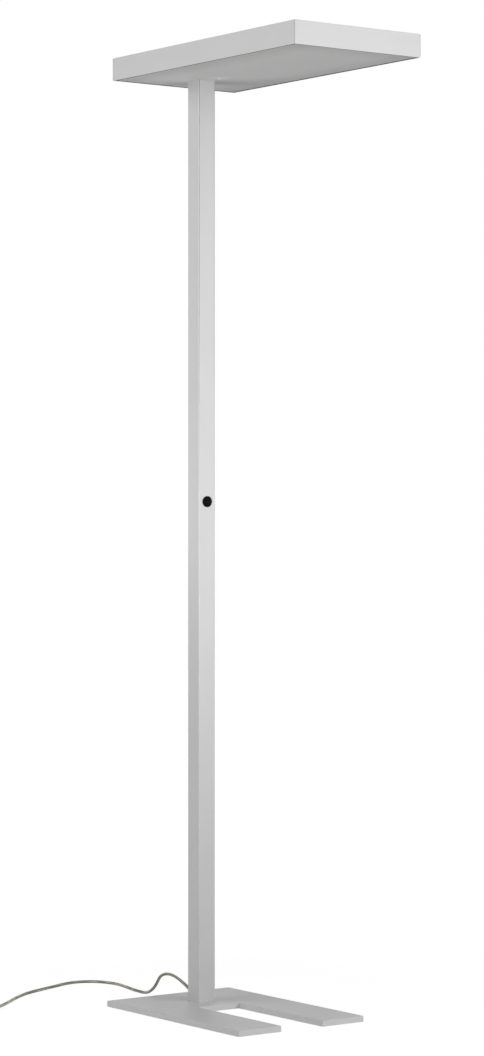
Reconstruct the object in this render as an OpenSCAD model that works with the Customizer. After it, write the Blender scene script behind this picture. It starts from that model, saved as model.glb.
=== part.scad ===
// Office floor lamp: a flat rectangular light head on a square column, on a forked steel foot.
// Millimetres. +X is the way the head and the prongs reach, +Z is up.
// The origin lies on the floor, under the column's axis.

/* [Lamp] */
// Height from the floor to the top of the head
lamp_h = 1950; // [1500:10:2200]

/* [Foot] */
// Length of the foot plate, along the head's reach
foot_l = 460; // [400:5:600]
// Width of the foot plate
foot_w = 308; // [260:2:420]
// Thickness of the foot plate
foot_t = 12; // [8:1:20]
// Foot plate behind the column's axis
foot_back = 118; // [80:1:160]
// Width of the slot between the prongs
slot_w = 102; // [60:1:140]
// Column's axis to the back edge of the slot
slot_back = 60; // [45:1:120]
// Radius of the slot's two inner corners
slot_r = 1; // [1:0.5:8]
// Chamfer on the foot plate's upper edges
foot_chamfer = 0.3; // [0.2:0.1:1.5]
// Thickness of the rubber sheet under the foot plate
pad_t = 0.5; // [0.3:0.1:2]
// Rubber sheet's edge inside the foot plate's edge
pad_inset = 3; // [1:0.5:8]

/* [Column] */
// Width of the square column
column_w = 40; // [40:1:60]
// Wall of the column
column_wall = 2.5; // [2:0.1:4]
// Radius of the column's outer edges
column_edge_r = 1; // [0.4:0.1:2]
// Wall of the screw ports inside the column's corners
port_wall = 1.25; // [1:0.05:2]
// Width of the gap along each screw port
port_gap_w = 2.4; // [1.5:0.1:3.5]

/* [Head] */
// Length of the head, along its reach
head_l = 620; // [480:5:900]
// Width of the head
head_w = 308; // [260:2:420]
// Thickness of the head
head_t = 46; // [44:1:80]
// Head behind the column's axis
head_back = 98; // [84:1:160]
// Wall of the head's frame
frame_wall = 2; // [1.6:0.1:3]
// Thickness of the ledges inside the frame
ledge_t = 1.5; // [1:0.1:2.5]
// Radius of the frame's outer edges
frame_edge_r = 0.8; // [0.3:0.1:1.2]
// Gap between two frame bars at a mitred corner
mitre_gap = 0.3; // [0.1:0.05:0.6]
// Height inside the channel that holds the corner keys
channel_h = 13; // [8:0.5:13]
// Width inside the channel that holds the corner keys
channel_w = 3; // [2:0.1:4]
// Length of each leg of a corner key
key_leg = 38; // [20:1:60]

/* [Light panels] */
// Thickness of the opal diffuser under the head
diffuser_t = 2; // [1.5:0.1:3]
// Diffuser's face above the frame's lower edge
diffuser_recess = 0.5; // [0.3:0.1:2]
// Gap between the diffuser and the frame, all round, filled by the seal
diffuser_gap = 5; // [2:0.1:6]
// Height of the seal in that gap
seal_h = 3; // [2:0.1:5]
// Height of the diffuser's raised rim, from its lower face
diffuser_rim_h = 9; // [7:0.5:12]
// Thickness of the cover on top of the head
cover_t = 2; // [1.5:0.1:3]
// Cover's face below the frame's upper edge
cover_recess = 0.5; // [0.2:0.1:1.5]
// Width of an LED strip
strip_w = 20; // [12:1:24]
// Thickness of an LED strip
strip_t = 1.6; // [1:0.1:2.4]
// Spacing of the LEDs along a strip
led_pitch = 28; // [20:1:50]

/* [Inside the head] */
// Height of the shelf that carries the heat sink, above the frame's lower edge
shelf_z = 20; // [19:0.5:21]
// Thickness of the heat sink plate
sink_t = 2.5; // [2:0.1:3]
// Thickness of the mounting plate over the column
mount_t = 4; // [3:0.5:5]
// Length of the mounting plate
mount_l = 104; // [96:1:104]
// Width of the mounting plate
mount_w = 100; // [80:1:110]
// Height of the LED driver
driver_h = 17; // [12:0.5:17]
// Length of the LED driver
driver_l = 210; // [150:5:240]
// Width of the LED driver
driver_w = 40; // [30:1:50]
// Presence sensor in front of the column's axis
sensor_x = 61; // [58:1:66]
// Diameter of the sensor's lens
lens_d = 9; // [6:0.5:12]

/* [Button] */
// Height of the button above the floor
button_z = 1040; // [800:5:1300]
// Diameter of the button's ring
ring_d = 22.5; // [20:0.5:28]
// Ring's face in front of the column
ring_proud = 2.5; // [1.5:0.1:4]
// Diameter of the button's cap
cap_d = 15.6; // [12:0.2:16]
// Cap's face in front of the ring's face, at rest
cap_proud = 0.7; // [0.3:0.1:1.5]
// Depth of the dish in the cap's face
cap_dish = 1; // [0.3:0.1:1.5]
// Travel of the button
travel = 1.5; // [0.8:0.1:2]
// Running clearance round the cap and its stem
cap_fit = 0.08; // [0.05:0.01:0.1]

/* [Cord] */
// Diameter of the mains cord
cord_d = 6.2; // [5:0.1:7]
// Height of the cord's outlet above the floor
outlet_z = 30; // [30:1:34]
// Radius that the strain relief is bent to
relief_bend = 80; // [60:1:120]
// Length of the strain relief outside the column
relief_l = 18; // [14:1:24]
// Outer radius of the coil's outermost turn, at the middle of the cord
coil_r = 42; // [40:0.5:50]
// Gap between neighbouring turns of the coil
coil_gap = 0.55; // [0.45:0.05:1]
// Width of the strap round the coil
strap_w = 10; // [6:1:16]
// Thickness of the strap round the coil
strap_t = 1; // [0.6:0.1:1.5]
// Diameter of the plug's face
plug_d = 37; // [34:0.5:40]
// Length of the plug's pins
pin_l = 19; // [15:0.5:20]

/* [Hidden] */

eps = 0.01;
fine = 64;
small = 32;

// Clearances
fit = 0.05;        // round a screw's shank in its thread
play = 0.3;        // round a screw in a plain hole, and between parts that slide together once
slip = 0.2;        // round a corner key in its channel

// Screws: shank radius, head radius, head height
m3 = [1.5, 2.8, 1.8];
m4 = [2, 3.8, 2.4];
m6 = [3, 5, 3.6];
m6_sunk_r = 6;
screw_grip = 35;   // an M6 screw's length inside a screw port
socket_share = 0.7;        // of the shank's radius
socket_depth = 2;
through_l = 100;   // of the cutters for screw holes

// Colours
silver = [0.74, 0.74, 0.75];
raw_aluminium = [0.62, 0.63, 0.65];
zinc = [0.7, 0.71, 0.72];
opal = [0.93, 0.93, 0.92];
black = [0.06, 0.06, 0.065];
dark_grey = [0.13, 0.13, 0.14];
clear_pvc = [0.6, 0.6, 0.55];

// Foot
foot_z = pad_t;
foot_top = foot_z + foot_t;
foot_front = foot_l - foot_back;
sunk_depth = 0.4;

// Column
column_top = lamp_h - head_t + shelf_z;
column_half = column_w / 2;
column_in = column_half - column_wall;
port_r = m6[0] + fit;
port_out_r = port_r + port_wall;
port_bite = 0.3;
port_at = column_in - port_out_r + port_bite;
port_signs = [for (sx = [-1, 1], sy = [-1, 1]) [sx, sy]];

// Head: levels above the frame's lower edge, and the frame's inner reaches
head_z = lamp_h - head_t;
head_front = head_l - head_back;
ledge_z = diffuser_recess + diffuser_rim_h;
ledge_bite = 3;     // of the ledge over the diffuser's rim
ledge_reach = frame_wall + diffuser_gap + ledge_bite;
shelf_reach = 16;
web_t = 1.2;
channel_rise = 4;   // of the key channel above the shelf
channel_z = shelf_z + channel_rise;
channel_lip = 2.5;
top_ledge_z = head_t - cover_recess - cover_t - ledge_t;
top_ledge_w = 6;
top_ledge_reach = frame_wall + top_ledge_w;
sink_inset = 8.5;
sink_top = shelf_z + sink_t;
mount_top = sink_top + mount_t;
sink_screw_inset = 12;
mount_screw_inset = 12;
mount_corner_r = 6;
mount_thread = 1;   // a mounting screw's end below the heat sink
sink_screws_x = 5;
sink_screws_y = 2;

// Button: places along X, from the column's front face
cap_r = cap_d / 2;
barrel_wall = 1.02;
barrel_r = cap_r + cap_fit + barrel_wall;
cap_body = 5.5;
cap_edge = 0.5;
cap_steps = 6;
ring_bevel = 0.8;
hook_w = 5;
hook_out = 1.2;
hook_l = 3;
hook_tip = 0.6;
hook_bite = 0.3;   // of a hook's foot into the barrel
stem_r = 2.5;
spring_wire_d = 0.6;
spring_coil_gap = 1.1;
spring_turns = 4;
spring_rings = 12;
spring_sides = 6;
spring_l = 3.2;    // the pressed spring, with its clearances
spring_room = spring_l + travel;
barrel_floor = 1.5;
module_t = 6;
module_w = 14;
module_corner_r = 1;
tag_size = [0.8, 2, 4];
tag_y = 3;
tag_bite = 0.5;    // of a solder tag into the module
ring_face = column_half + ring_proud;
cap_face = ring_face + cap_proud;
cap_back = cap_face - cap_body;
barrel_in = cap_back - spring_room;
barrel_end = barrel_in - barrel_floor;
module_back = barrel_end - module_t;
stem_reach = 3;    // of the stem into the switch module, at rest
stem_end = barrel_end - stem_reach;
stem_room = 0.5;   // under the pressed stem
hole_clear = 0.1;

// Wires
cord_r = cord_d / 2;
signal_d = 3;
lead_d = 0.6 * cord_r;
thin_d = 1.6;
riser_gap = 0.9;   // between the cord in the column and the switch module
riser_x = module_back - riser_gap - cord_r;
signal_at = [module_back + signal_d / 2, 5.4];
wire_gap = 0.46;   // round the wires in the grommet
wire_room = norm(signal_at) + signal_d / 2 + wire_gap;
grommet_wall = 1.4;
grommet_lip = 1;
grommet_lip_t = 0.8;
wire_hole_r = wire_room + grommet_wall;
lead_rise = 7;     // of the leads above the mounting plate
lead_z = mount_top + lead_rise;
lead_bend = 5;
lead_gap = 0.2;
lead_pitch = lead_d + lead_gap;

// Terminal block, driver and sensor
terminal_size = [24, 28, 12];
terminal_x = 27;
poles = 5;
pole_hole = [1.7, 3];      // radius and depth
pole_hole_at = 6;
pole_groove = [0.6, 2];    // width and depth
driver_x = 75;
driver_ear = 12;
driver_ear_t = 1.5;
driver_lid = 2;            // height and inset of the lid's step
driver_lead_pitch = 5;
led_lead_y = 3;            // a lead's distance from the driver's side, and between two leads
led_lead_x = [6, 4];       // the first lead's reach before it turns, and the next one's step
led_lead_bend = 3;
sensor_r = 10;
sensor_neck_r = 5;
sensor_neck_proud = 3;
lens_proud = 4;
lens_flange_r = 8;
lens_flange_t = 1;

// LED strips
strip_inset = 28;
strip_y_out = head_w / 2 - shelf_reach - strip_inset;
strip_y_in = 50;
strip_x = [-head_back + strip_inset, head_front - strip_inset];
led_size = [3.5, 2.8, 0.8];
led_margin = 1;    // from an LED to its strip's end, at least

// Diffuser tray, its seal and its clips
tray_wall = 2;
tray_lip = 4;
tray_lip_t = 1.5;
tray_corner_r = 1;
column_gap = 0.5;  // between the diffuser and the column
seal_groove = [2, 1];      // width and depth
clip_w = 14;
clip_sheet_t = 0.8;
clip_hook = 1.4;
clip_places = [0.18, 0.5, 0.82];

// Cord outlet: the flanged bush in the column's rear wall, and its ribbed sleeve
outlet_flange_t = 2;
outlet_flange_r = 8;
outlet_neck_r = 6;
outlet_in_t = 3;
outlet_edge = 0.6;
outlet_taper = 0.5;
outlet_in_x = -column_in + outlet_in_t;
outlet_out_x = -column_half - outlet_flange_t;
relief_ribs = 5;
relief_wall = 0.7;
relief_core_r = cord_r + relief_wall;
relief_slit = 0.35;        // share of a rib's pitch
relief_rib_r = [6.6, 4.8];
relief_angle = relief_l / relief_bend * 180 / PI;
outlet_tip = [outlet_out_x - relief_bend * sin(relief_angle), 0,
    outlet_z + relief_bend * (1 - cos(relief_angle))];
outlet_way = [-cos(relief_angle), 0, sin(relief_angle)];
riser_bend = riser_x - outlet_in_x;

// Route of the free cord: a springy arch behind the column, then loose curves on the floor.
// Each point is [x, y, height of the cord's underside above the floor].
cord_route = [
    [-56, 0, 35], [-70, 0, 40.5], [-84, 0, 45.5], [-100, 0, 49], [-115, 0, 50.5],
    [-129, 0, 49.5], [-141, 0, 46], [-150, 0, 40.5], [-157.5, 0, 32], [-165, 0, 23],
    [-174, 0, 14.5], [-185, 0, 7.5], [-199, 1, 2.5], [-216, 2, 0.3],
    [-237, 4, 0], [-262, 7.5, 0], [-286, 12.5, 0], [-310, 17.5, 0], [-333, 21, 0], [-355, 21, 0],
    [-376, 17, 0], [-395, 8, 0], [-410, -6, 0], [-418, -24, 0], [-419, -46, 0], [-412, -72, 0],
    [-400, -98, 0], [-388, -124, 0], [-376, -151, 0], [-363, -179, 0], [-347, -207, 0],
    [-328, -234, 0], [-306, -260, 0], [-282, -286, 0], [-258, -313, 0], [-236, -341, 0]
];
floor_gap = 0.2;   // under the free cord, so that no bend of its curve dips below the floor
cord_steps = 2;
cord_sides = 8;

// Coil: it turns clockwise, seen from above, and starts where the free cord ends
coil_start = [-215, -370];
coil_heading = -58;
coil_sides = 6;
strap_corner_r = 3;
coil_rings = 24;
coil_layers = 4;
layer_turns = 2.5;
coil_pitch = cord_d + coil_gap;
coil_z = strap_t + play + cord_r;
coil_way = [cos(coil_heading), sin(coil_heading)];
coil_at = coil_start + cord_d * coil_way + coil_r * [coil_way[1], -coil_way[0]];
coil_turns = coil_layers * layer_turns;
coil_top_z = coil_z + (coil_layers - 1) * coil_pitch;
coil_in_r = coil_r - layer_turns * coil_pitch;
tail_l = 46;
tail_rings = 8;

// Plug: it lies on the floor on its rim, in line with the cord's tail
plug_r = plug_d / 2;
plug_face_t = 15;
plug_grip_l = 22;
plug_relief_l = 20;
plug_relief_r = [4.6, 6.4];
plug_grip_r = [9, 13.5];
plug_start = coil_at - coil_r * [coil_way[1], -coil_way[0]] + (tail_l + cord_d) * coil_way;
pin_r = 2.4;
pin_spacing = 19;
earth_socket_depth = 10;
earth_socket_gap = 0.1;
grip_steps = 8;
relief_grooves = 4;
relief_groove_w = 1.2;
relief_groove_wall = 0.9;
plug_bevel = [1.5, 1];     // at the face's back and front
flat_depth = 1.5;
flat_side = 2;             // a flat's edge past the earth clip in it
flat_face = 2;             // a flat's step from the plug's face
earth_clip = [0.8, 6, 10];
pin_tip = [[0, 1.5], [1, 0.3], [1.8, 0]];

// ---------- curves ----------

function unit(v) = v / norm(v);

function span_point(a, b, c, d, t) =
    (2 * b + (c - a) * t + (2 * a - 5 * b + 4 * c - d) * t * t + (3 * b - a - 3 * c + d) * t * t * t) / 2;

// A smooth curve through points, with a number of steps in each span
function smooth(points, steps) = [
    for (i = [0 : len(points) - 2], k = [0 : steps - 1])
        span_point(points[max(i - 1, 0)], points[i], points[i + 1],
            points[min(i + 2, len(points) - 1)], k / steps),
    points[len(points) - 1]
];

function way(path, i) = unit(path[min(i + 1, len(path) - 1)] - path[max(i - 1, 0)]);

function path_length(path, i = 1) =
    i < len(path) ? norm(path[i] - path[i - 1]) + path_length(path, i + 1) : 0;

function ring_points(centre, dir, r, sides) =
    let (side = unit(cross(dir, abs(dir[2]) > 0.9 ? [1, 0, 0] : [0, 0, 1])), up = cross(side, dir))
    [for (k = [0 : sides - 1]) centre + r * (cos(360 * k / sides) * side + sin(360 * k / sides) * up)];

// A closed round tube that follows a path
module tube(path, d, sides) {
    n = len(path);
    last = (n - 1) * sides;
    points = [for (i = [0 : n - 1]) each ring_points(path[i], way(path, i), d / 2, sides)];
    walls = [
        for (i = [0 : n - 2], k = [0 : sides - 1])
            let (a = i * sides + k, b = i * sides + (k + 1) % sides)
            each [[a, b + sides, b], [a, a + sides, b + sides]]
    ];
    caps = [for (k = [1 : sides - 2]) each [[0, k, k + 1], [last, last + k + 1, last + k]]];
    polyhedron(points, concat(walls, caps));
}

// ---------- shared shapes ----------

// A square with rounded corners, centred
module rounded_square(size, r) {
    square([size[0] - 2 * r, size[1]], center = true);
    square([size[0], size[1] - 2 * r], center = true);
    for (sx = [-1, 1], sy = [-1, 1])
        translate([sx * (size[0] / 2 - r), sy * (size[1] / 2 - r)])
            circle(r, $fn = small);
}

module rounded_slab(size, r) {
    linear_extrude(size[2])
        rounded_square([size[0], size[1]], r);
}

// A pan-head screw with its head standing on z = 0 and its shank below
module pan_screw(screw, length) {
    translate([0, 0, -length])
        cylinder(r = screw[0], h = length + eps, $fn = small);
    difference() {
        rotate_extrude($fn = small)
            polygon([[0, 0], [screw[1], 0], [screw[1], screw[2] * 0.6],
                [screw[1] * 0.75, screw[2]], [0, screw[2]]]);
        translate([0, 0, screw[2] * 0.4])
            cylinder(r = screw[0] * socket_share, h = screw[2], $fn = 6);
    }
}

// ---------- foot ----------

module foot_outline(inset = 0) {
    difference() {
        translate([-foot_back + inset, -foot_w / 2 + inset])
            square([foot_l - 2 * inset, foot_w - 2 * inset]);
        translate([slot_back + slot_r - inset, -slot_w / 2 - inset])
            square([foot_front, slot_w + 2 * inset]);
        translate([slot_back - inset, -slot_w / 2 + slot_r - inset])
            square([foot_front, slot_w - 2 * slot_r + 2 * inset]);
        for (side = [-1, 1])
            translate([slot_back + slot_r - inset, side * (slot_w / 2 - slot_r + inset)])
                circle(slot_r, $fn = small);
    }
}

// The 45 degree cut along an upper edge that runs from a to b, with the plate on its left
module edge_cut(a, b) {
    length = norm(b - a);
    cut = foot_chamfer * sqrt(2);
    translate([a[0], a[1], foot_top])
        rotate([0, 0, atan2(b[1] - a[1], b[0] - a[0])])
            rotate([45, 0, 0])
                translate([-foot_chamfer, -cut / 2, -cut / 2])
                    cube([length + 2 * foot_chamfer, cut, cut]);
}

module foot_edge_cuts() {
    y_out = foot_w / 2;
    y_in = slot_w / 2;
    corners = [
        [-foot_back, -y_out], [foot_front, -y_out], [foot_front, -y_in], [slot_back, -y_in],
        [slot_back, y_in], [foot_front, y_in], [foot_front, y_out], [-foot_back, y_out]
    ];
    for (i = [0 : len(corners) - 1])
        if (i != 2 && i != 3 && i != 4)
            edge_cut(corners[i], corners[(i + 1) % len(corners)]);
    // In the slot the straight cuts stop where the rounded corners start
    stop = slot_r + foot_chamfer;
    edge_cut([foot_front, -y_in], [slot_back + stop, -y_in]);
    edge_cut([slot_back, -y_in + stop], [slot_back, y_in - stop]);
    edge_cut([slot_back + stop, y_in], [foot_front, y_in]);
    for (side = [-1, 1])
        translate([slot_back + slot_r, side * (y_in - slot_r), foot_top - foot_chamfer])
            cylinder(r1 = slot_r, r2 = slot_r + 2 * foot_chamfer, h = 2 * foot_chamfer, $fn = small);
}

module foot_plate() {
    color(silver)
        difference() {
            translate([0, 0, foot_z])
                linear_extrude(foot_t)
                    foot_outline();
            foot_edge_cuts();
            for (s = port_signs)
                translate([s[0] * port_at, s[1] * port_at, foot_z]) {
                    translate([0, 0, -eps])
                        cylinder(r = m6[0] + play, h = foot_t + 1, $fn = small);
                    translate([0, 0, -eps])
                        cylinder(r = m6_sunk_r + play, h = sunk_depth + eps, $fn = small);
                    translate([0, 0, sunk_depth - eps])
                        cylinder(r1 = m6_sunk_r + play, r2 = m6[0] + play, h = m6_sunk_r - m6[0],
                            $fn = small);
                }
        }
}

module foot_pad() {
    color(dark_grey)
        linear_extrude(pad_t)
            foot_outline(pad_inset);
}

// Countersunk screws from under the foot plate into the column's screw ports
module foot_screws() {
    color(zinc)
        for (s = port_signs)
            translate([s[0] * port_at, s[1] * port_at, foot_z + sunk_depth + play / 2])
                difference() {
                    union() {
                        cylinder(r1 = m6_sunk_r, r2 = m6[0], h = m6_sunk_r - m6[0], $fn = small);
                        cylinder(r = m6[0], h = foot_t - sunk_depth + screw_grip, $fn = small);
                    }
                    translate([0, 0, -eps])
                        cylinder(r = m6[0] * socket_share, h = socket_depth, $fn = 6);
                }
}

// ---------- column ----------

module column_section() {
    difference() {
        rounded_square([column_w, column_w], column_edge_r);
        square(2 * column_in, center = true);
    }
    for (s = port_signs)
        difference() {
            translate([s[0] * port_at, s[1] * port_at])
                circle(port_out_r, $fn = small);
            translate([s[0] * port_at, s[1] * port_at])
                circle(port_r, $fn = small);
            // The port's long gap opens towards the column's middle
            translate([s[0] * port_at, s[1] * port_at])
                rotate(atan2(-s[1], -s[0]))
                    translate([0, -port_gap_w / 2])
                        square([2 * port_out_r, port_gap_w]);
        }
}

module column() {
    color(silver)
        difference() {
            translate([0, 0, foot_top])
                linear_extrude(column_top - foot_top)
                    column_section();
            // Button's hole, drilled on past the screw ports
            translate([barrel_end - hole_clear, 0, button_z])
                rotate([0, 90, 0])
                    cylinder(r = barrel_r + hole_clear, h = column_w, $fn = fine);
            translate([-column_in + eps, 0, outlet_z])
                rotate([0, -90, 0])
                    cylinder(r = outlet_neck_r + fit, h = column_wall + 1, $fn = fine);
        }
}

// ---------- cord outlet and the wires inside the column ----------

// Part of a ring bent like the strain relief, between two distances along it
module bent(r, from, to) {
    a = from / relief_bend * 180 / PI;
    b = to / relief_bend * 180 / PI;
    translate([outlet_out_x, 0, outlet_z + relief_bend])
        rotate([90, 0, 0])
            rotate([0, 0, -90 - b])
                rotate_extrude(angle = b - a, $fn = 4 * fine)
                    translate([relief_bend, 0])
                        circle(r, $fn = small);
}

module cord_outlet() {
    pitch = relief_l / relief_ribs;
    color(dark_grey) {
        translate([outlet_in_x, 0, outlet_z])
            rotate([0, -90, 0])
                rotate_extrude($fn = fine)
                    polygon([
                        [0, 0], [outlet_flange_r - 2 * outlet_taper, 0],
                        [outlet_flange_r - outlet_taper, outlet_in_t],
                        [outlet_neck_r, outlet_in_t], [outlet_neck_r, outlet_in_t + column_wall],
                        [outlet_flange_r, outlet_in_t + column_wall],
                        [outlet_flange_r, outlet_in_t + column_wall + outlet_flange_t - outlet_edge],
                        [outlet_flange_r - outlet_edge, outlet_in_t + column_wall + outlet_flange_t],
                        [0, outlet_in_t + column_wall + outlet_flange_t]
                    ]);
        bent(relief_core_r, -eps, relief_l);
        for (i = [0 : relief_ribs - 2])
            bent(relief_rib_r[0] + (relief_rib_r[1] - relief_rib_r[0]) * i / (relief_ribs - 1),
                (i + relief_slit) * pitch, (i + 1) * pitch);
    }
}

// A quarter of a ring in the X-Y plane, round the origin, from +X to +Y
module elbow(bend_r, d) {
    rotate_extrude(angle = 90, $fn = fine)
        translate([bend_r, 0])
            circle(d / 2, $fn = small);
}

// The cord's own jacket, from the outlet up through the column to the head
module mains_riser() {
    top = head_z + lead_z - lead_bend;
    color(clear_pvc) {
        translate([outlet_in_x, 0, outlet_z + riser_bend])
            rotate([90, 0, 0])
                rotate([0, 0, -90])
                    elbow(riser_bend, cord_d);
        translate([riser_x, 0, outlet_z + riser_bend])
            cylinder(d = cord_d, h = top - outlet_z - riser_bend, $fn = small);
    }
}

module signal_cable() {
    bottom = button_z + module_w / 2;
    color(black) {
        translate([signal_at[0], signal_at[1], bottom])
            cylinder(d = signal_d, h = head_z + lead_z - lead_bend - bottom, $fn = small);
        bent_lead(signal_at[0], signal_at[1], signal_d);
    }
}

// A wire that bends from upright to level and runs to the terminal block
module bent_lead(x, y, d) {
    translate([x + lead_bend, y, head_z + lead_z - lead_bend])
        rotate([90, 0, 0])
            rotate([0, 0, 90])
                elbow(lead_bend, d);
    translate([x + lead_bend, y, head_z + lead_z])
        rotate([0, 90, 0])
            cylinder(d = d, h = terminal_x - x - lead_bend, $fn = small);
}

// ---------- button ----------

// Places children on the button's axis, with their z along +X
module at_button(x) {
    translate([x, 0, button_z])
        rotate([0, 90, 0])
            children();
}

module button_ring() {
    face = ring_face - barrel_end;
    wall_face = column_half - barrel_end;
    floor_top = barrel_in - barrel_end;
    ring_r = ring_d / 2;
    color(black) {
        at_button(barrel_end)
            rotate_extrude($fn = fine)
                polygon([
                    [stem_r + cap_fit, 0], [barrel_r, 0], [barrel_r, wall_face],
                    [ring_r, wall_face], [ring_r, face - ring_bevel],
                    [ring_r - 0.3 * ring_bevel, face - 0.3 * ring_bevel], [ring_r - ring_bevel, face],
                    [cap_r + cap_fit + ring_bevel / 3, face], [cap_r + cap_fit, face - ring_bevel / 3],
                    [cap_r + cap_fit, floor_top], [stem_r + cap_fit, floor_top]
                ]);
        // Snap hooks behind the column's wall, above and below
        for (side = [-1, 1])
            translate([column_in - hole_clear, 0, button_z + side * (barrel_r - hook_bite)])
                rotate([90, 0, 0])
                    linear_extrude(hook_w, center = true)
                        polygon([[0, 0], [0, side * hook_out], [-hook_tip, side * hook_out], [-hook_l, 0]]);
    }
}

module button_cap() {
    back = cap_back - stem_end;
    face = cap_face - stem_end;
    dish_r = cap_r - cap_edge;
    dish = [
        for (i = [0 : cap_steps])
            let (s = 1 - i / cap_steps)
            [dish_r * s, face - cap_dish * (1 - s * s)]
    ];
    color(dark_grey)
        at_button(stem_end)
            rotate_extrude($fn = fine)
                polygon(concat(
                    [[0, 0], [stem_r, 0], [stem_r, back], [cap_r, back], [cap_r, face - cap_edge],
                        [cap_r - 0.3 * cap_edge, face - 0.3 * cap_edge]],
                    dish
                ));
}

// The return spring round the cap's stem
module button_spring() {
    coil_mid = stem_r + cap_fit + spring_coil_gap + spring_wire_d / 2;
    length = spring_room - spring_wire_d - 2 * cap_fit;
    last = spring_turns * spring_rings;
    path = [
        for (i = [0 : last])
            [barrel_in + cap_fit + spring_wire_d / 2 + length * i / last,
                coil_mid * cos(360 * i / spring_rings), button_z + coil_mid * sin(360 * i / spring_rings)]
    ];
    color(zinc)
        tube(path, spring_wire_d, spring_sides);
}

module switch_module() {
    color(dark_grey)
        difference() {
            union() {
                at_button(module_back)
                    rounded_slab([module_w, module_w, module_t], module_corner_r);
                // Solder tags on the underside
                for (side = [-1, 1])
                    translate([module_back + module_t / 2, side * tag_y,
                        button_z - (module_w + tag_size[2]) / 2 + tag_bite])
                        cube(tag_size, center = true);
            }
            at_button(stem_end - travel - stem_room)
                cylinder(r = stem_r + cap_fit, h = module_t, $fn = fine);
        }
}

// ---------- head frame ----------

// Section of the frame bar: x runs inwards from the outer face, y up from the lower edge
module frame_section() {
    r = frame_edge_r;
    difference() {
        square([frame_wall, head_t]);
        square(r);
        translate([0, head_t - r])
            square(r);
    }
    translate([r, r])
        circle(r, $fn = small);
    translate([r, head_t - r])
        circle(r, $fn = small);
    translate([frame_wall - eps, ledge_z])
        square([ledge_reach - frame_wall, ledge_t]);
    translate([frame_wall - eps, shelf_z - ledge_t])
        square([shelf_reach - frame_wall, ledge_t]);
    translate([frame_wall - eps, top_ledge_z])
        square([top_ledge_reach - frame_wall, ledge_t]);
    // Two hooked webs make the channel for the corner keys
    for (up = [0, 1])
        translate([0, channel_z + up * channel_h])
            mirror([0, up]) {
                translate([frame_wall - eps, -web_t])
                    square([channel_w + web_t, web_t]);
                translate([frame_wall + channel_w, -web_t])
                    square([web_t - eps, web_t + channel_lip]);
            }
}

// One mitred bar, with its outer face on y = 0, reaching to +y, from x = 0 to its length
module frame_bar(length) {
    depth = shelf_reach + 1;
    cut = mitre_gap / sqrt(2);
    intersection() {
        rotate([90, 0, 90])
            linear_extrude(length)
                frame_section();
        translate([0, 0, -1])
            linear_extrude(head_t + 2)
                polygon([[cut, 0], [length - cut, 0], [length - cut - depth, depth], [cut + depth, depth]]);
    }
}

module screwed_bar(length, count) {
    difference() {
        frame_bar(length);
        for (i = [1 : count])
            translate([screw_place(length, count, i), sink_screw_inset, shelf_z - ledge_t - 1])
                cylinder(r = m3[0] + fit, h = ledge_t + 2, $fn = small);
    }
}

// Screws stand evenly along a bar, half a spacing from its ends
function screw_place(length, count, i) = length * (i - 0.5) / count;

module frame_left() {
    color(silver)
        translate([-head_back, -head_w / 2, head_z])
            screwed_bar(head_l, sink_screws_x);
}

module frame_right() {
    color(silver)
        translate([head_front, head_w / 2, head_z])
            rotate([0, 0, 180])
                screwed_bar(head_l, sink_screws_x);
}

module frame_front() {
    color(silver)
        translate([head_front, -head_w / 2, head_z])
            rotate([0, 0, 90])
                screwed_bar(head_w, sink_screws_y);
}

module frame_rear() {
    color(silver)
        translate([-head_back, head_w / 2, head_z])
            rotate([0, 0, -90])
                screwed_bar(head_w, sink_screws_y);
}

module corner_keys() {
    inset = frame_wall + slip;
    t = channel_w - 2 * slip;
    h = channel_h - 2 * slip;
    color(zinc)
        for (sx = [0, 1], sy = [0, 1])
            translate([sx == 0 ? -head_back : head_front, (sy - 0.5) * head_w, head_z + channel_z + slip])
                mirror([sx, 0, 0])
                    mirror([0, sy, 0])
                        translate([inset, inset, 0]) {
                            cube([key_leg, t, h]);
                            cube([t, key_leg, h]);
                        }
}

// ---------- heat sink, mounting plate and fasteners ----------

module sink_screw_places() {
    y_out = head_w / 2 - sink_screw_inset;
    for (i = [1 : sink_screws_x], side = [-1, 1])
        translate([-head_back + screw_place(head_l, sink_screws_x, i), side * y_out, 0])
            children();
    for (i = [1 : sink_screws_y], x = [-head_back + sink_screw_inset, head_front - sink_screw_inset])
        translate([x, -head_w / 2 + screw_place(head_w, sink_screws_y, i), 0])
            children();
}

module mount_screw_places() {
    for (s = port_signs)
        translate([s[0] * (mount_l / 2 - mount_screw_inset), s[1] * (mount_w / 2 - mount_screw_inset), 0])
            children();
}

module port_places() {
    for (s = port_signs)
        translate([s[0] * port_at, s[1] * port_at, 0])
            children();
}

module driver_screw_places() {
    for (x = [driver_x + driver_ear / 2, driver_x + driver_l - driver_ear / 2])
        translate([x, 0, 0])
            children();
}

module through(r) {
    translate([0, 0, -through_l / 2])
        cylinder(r = r, h = through_l, $fn = small);
}

module heat_sink() {
    color(raw_aluminium)
        difference() {
            translate([-head_back + sink_inset, -head_w / 2 + sink_inset, head_z + shelf_z])
                cube([head_l - 2 * sink_inset, head_w - 2 * sink_inset, sink_t]);
            translate([0, 0, head_z + shelf_z]) {
                translate([0, 0, -1])
                    cylinder(r = wire_hole_r, h = sink_t + 2, $fn = fine);
                translate([sensor_x, 0, -1])
                    cylinder(r = sensor_neck_r + play, h = sink_t + 2, $fn = fine);
                port_places() through(m6[0] + play);
                mount_screw_places() through(m4[0] + fit);
                sink_screw_places() through(m3[0] + play);
                driver_screw_places() through(m4[0] + fit);
            }
        }
}

module heat_sink_screws() {
    color(zinc)
        translate([0, 0, head_z + sink_top])
            sink_screw_places()
                pan_screw(m3, sink_t + ledge_t);
}

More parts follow.
